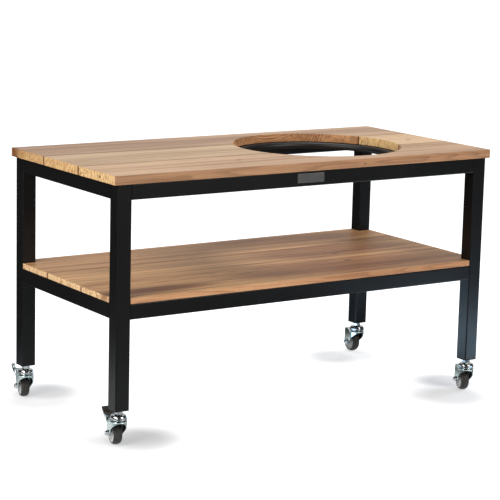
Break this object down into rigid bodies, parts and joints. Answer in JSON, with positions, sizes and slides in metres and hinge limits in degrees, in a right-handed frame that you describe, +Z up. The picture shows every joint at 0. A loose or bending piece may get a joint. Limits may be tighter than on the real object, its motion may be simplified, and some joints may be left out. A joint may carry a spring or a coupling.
{
  "type": "kamado grill table",
  "caption": "Hardwood table on a black square-tube frame with a round cut-out for a kamado grill, a plank shelf and swivel castors, two of them braked",
  "frame": {"origin": "middle of the table's box, on the floor", "axes": "X along the table's length with the cut-out on the +X side, Y from front to rear, Z up"},
  "size_m": [1.4904, 0.772, 0.867],
  "materials": {
    "oiled_teak": "sanded oiled hardwood, pale tan with fine brown grain",
    "shelf_teak": "sanded oiled hardwood, warmer and darker than the top",
    "black_powder_coat": "satin black powder coat on square steel tube",
    "brushed_plate": "small bare grey metal plate",
    "black_moulding": "moulded black insert",
    "bright_zinc": "bright zinc plating with a faint blue tint",
    "grey_hub": "moulded light grey wheel centre",
    "grey_rubber": "dark grey rubber tread"
  },
  "bodies": {
    "root": {"top_plank_rear": "oiled_teak", "top_plank_middle_left": "oiled_teak", "top_plank_middle_right": "oiled_teak", "top_plank_front": "oiled_teak", "shelf_plank_rear": "shelf_teak", "shelf_plank_middle": "shelf_teak", "shelf_plank_front": "shelf_teak", "leg_front_left": "black_powder_coat", "leg_front_right": "black_powder_coat", "leg_rear_left": "black_powder_coat", "leg_rear_right": "black_powder_coat", "top_rail_front": "black_powder_coat", "top_rail_rear": "black_powder_coat", "top_rail_left": "black_powder_coat", "top_rail_right": "black_powder_coat", "top_rail_cross": "black_powder_coat", "lower_rail_front": "black_powder_coat", "lower_rail_rear": "black_powder_coat", "lower_rail_left": "black_powder_coat", "lower_rail_right": "black_powder_coat", "lower_rail_cross": "black_powder_coat", "support_ring": "black_powder_coat", "name_plate": "brushed_plate", "leg_insert_front_left": "black_moulding", "leg_insert_front_right": "black_moulding", "leg_insert_rear_left": "black_moulding", "leg_insert_rear_right": "black_moulding", "castor_stem_front_left": "bright_zinc", "castor_head_front_left": "bright_zinc", "castor_stem_front_right": "bright_zinc", "castor_head_front_right": "bright_zinc", "castor_stem_rear_left": "bright_zinc", "castor_head_rear_left": "bright_zinc", "castor_stem_rear_right": "bright_zinc", "castor_head_rear_right": "bright_zinc"},
    "swivel_front_left": {"castor_fork_front_left": "bright_zinc", "castor_axle_front_left": "bright_zinc", "castor_nut_front_left": "bright_zinc", "brake_pin_front_left": "bright_zinc"},
    "wheel_front_left": {"castor_hub_front_left": "grey_hub", "castor_tyre_front_left": "grey_rubber"},
    "brake_front_left": {"brake_lever_front_left": "bright_zinc"},
    "swivel_front_right": {"castor_fork_front_right": "bright_zinc", "castor_axle_front_right": "bright_zinc", "castor_nut_front_right": "bright_zinc"},
    "wheel_front_right": {"castor_hub_front_right": "grey_hub", "castor_tyre_front_right": "grey_rubber"},
    "swivel_rear_left": {"castor_fork_rear_left": "bright_zinc", "castor_axle_rear_left": "bright_zinc", "castor_nut_rear_left": "bright_zinc", "brake_pin_rear_left": "bright_zinc"},
    "wheel_rear_left": {"castor_hub_rear_left": "grey_hub", "castor_tyre_rear_left": "grey_rubber"},
    "brake_rear_left": {"brake_lever_rear_left": "bright_zinc"},
    "swivel_rear_right": {"castor_fork_rear_right": "bright_zinc", "castor_axle_rear_right": "bright_zinc", "castor_nut_rear_right": "bright_zinc"},
    "wheel_rear_right": {"castor_hub_rear_right": "grey_hub", "castor_tyre_rear_right": "grey_rubber"}
  },
  "joints": [
    {"name": "swivel_turn_front_left", "type": "hinge", "parent": "root", "child": "swivel_front_left", "pos_m": [-0.70571, -0.35448, 0.095], "axis": [0, 0, 1], "continuous": true},
    {"name": "wheel_spin_front_left", "type": "hinge", "parent": "swivel_front_left", "child": "wheel_front_left", "pos_m": [-0.69851, -0.3233, 0.0375], "axis": [-0.9744, 0.225, 0], "continuous": true},
    {"name": "brake_press_front_left", "type": "hinge", "parent": "swivel_front_left", "child": "brake_front_left", "pos_m": [-0.69649, -0.31454, 0.079], "axis": [-0.9744, 0.225, 0], "range_deg": [0, 18]},
    {"name": "swivel_turn_front_right", "type": "hinge", "parent": "root", "child": "swivel_front_right", "pos_m": [0.70529, -0.35448, 0.095], "axis": [0, 0, 1], "continuous": true},
    {"name": "wheel_spin_front_right", "type": "hinge", "parent": "swivel_front_right", "child": "wheel_front_right", "pos_m": [0.71702, -0.32471, 0.0375], "axis": [-0.9304, 0.3665, 0], "continuous": true},
    {"name": "swivel_turn_rear_left", "type": "hinge", "parent": "root", "child": "swivel_rear_left", "pos_m": [-0.70571, 0.29052, 0.095], "axis": [0, 0, 1], "continuous": true},
    {"name": "wheel_spin_rear_left", "type": "hinge", "parent": "swivel_rear_left", "child": "wheel_rear_left", "pos_m": [-0.69797, 0.32157, 0.0375], "axis": [-0.9703, 0.2419, 0], "continuous": true},
    {"name": "brake_press_rear_left", "type": "hinge", "parent": "swivel_rear_left", "child": "brake_rear_left", "pos_m": [-0.69579, 0.3303, 0.079], "axis": [-0.9703, 0.2419, 0], "range_deg": [-10, 8]},
    {"name": "swivel_turn_rear_right", "type": "hinge", "parent": "root", "child": "swivel_rear_right", "pos_m": [0.70529, 0.29052, 0.095], "axis": [0, 0, 1], "continuous": true},
    {"name": "wheel_spin_rear_right", "type": "hinge", "parent": "swivel_rear_right", "child": "wheel_rear_right", "pos_m": [0.70808, 0.32239, 0.0375], "axis": [-0.9962, 0.0872, 0], "continuous": true}
  ]
}
